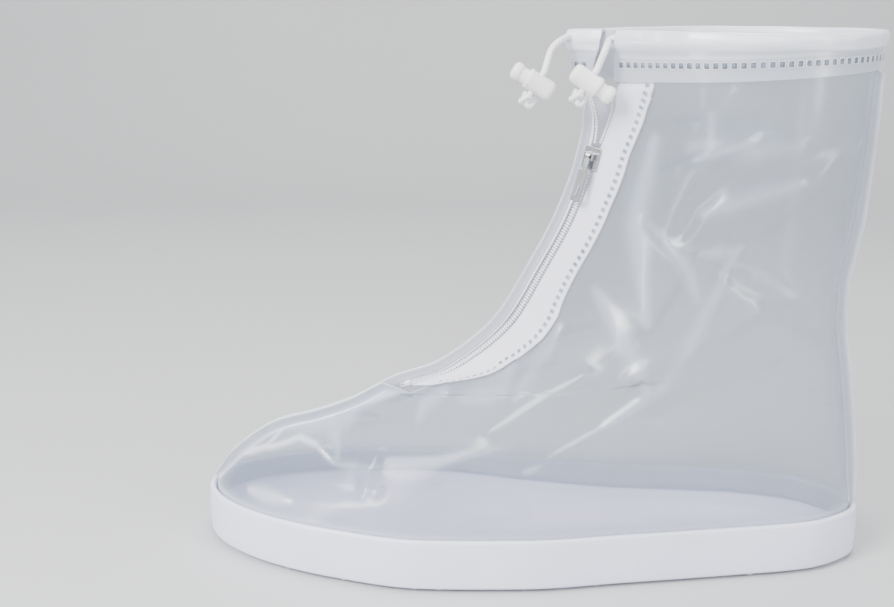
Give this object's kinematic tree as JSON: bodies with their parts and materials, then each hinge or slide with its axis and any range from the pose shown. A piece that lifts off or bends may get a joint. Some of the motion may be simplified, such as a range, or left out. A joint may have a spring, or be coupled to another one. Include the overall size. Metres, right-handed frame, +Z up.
{
  "type": "shoe cover",
  "caption": "Reusable rain cover worn over a shoe: white sole tray, clear film side panels, front zip and a drawstring collar with two cord locks.",
  "frame": {"origin": "on the sole's underside, midway along its length, near the middle of its width", "axes": "+Z up, -X towards the toe, -Y towards the outer side of a left foot"},
  "size_m": [0.3, 0.1057, 0.234],
  "materials": {
    "sole_white": "satin moulded",
    "clear_film": "clear and glossy",
    "hem_film": "milky and glossy",
    "tape_white": "woven",
    "coil_white": "satin",
    "lock_white": "gloss moulded",
    "cord_white": "braided",
    "slider_metal": "bright plated"
  },
  "bodies": {
    "cover": {"sole": "sole_white", "side_panel_outer": "clear_film", "side_panel_inner": "clear_film", "collar_hem": "hem_film", "zip_tape_outer": "tape_white", "zip_tape_inner": "tape_white", "zip_coil_closed": "coil_white", "zip_coil_outer": "coil_white", "zip_coil_inner": "coil_white", "zip_bottom_stop": "tape_white", "zip_slider": "slider_metal", "hem_cord": "cord_white", "cord_end_outer": "cord_white", "cord_end_inner": "cord_white", "lock_barrel_outer": "lock_white", "lock_barrel_inner": "lock_white", "cord_knot_outer": "cord_white", "cord_knot_inner": "cord_white"},
    "pull": {"zip_pull": "slider_metal"},
    "plunger_outer": {"lock_plunger_outer": "lock_white"},
    "plunger_inner": {"lock_plunger_inner": "lock_white"}
  },
  "joints": [
    {"name": "pull_hinge", "type": "hinge", "parent": "cover", "child": "pull", "pos_m": [0.02397, -0.00843, 0.18176], "axis": [-0.8065, 0.563, 0.1807], "range_deg": [0, 135]},
    {"name": "lock_press_outer", "type": "slide", "parent": "cover", "child": "plunger_outer", "axis": [-0.8336, 0, 0.5524], "range_m": [0, 0.003], "stiffness_N_per_m": 500, "springref_m": -0.002},
    {"name": "lock_press_inner", "type": "slide", "parent": "cover", "child": "plunger_inner", "axis": [0.8551, 0, -0.5185], "range_m": [0, 0.003], "stiffness_N_per_m": 500, "springref_m": -0.002}
  ]
}
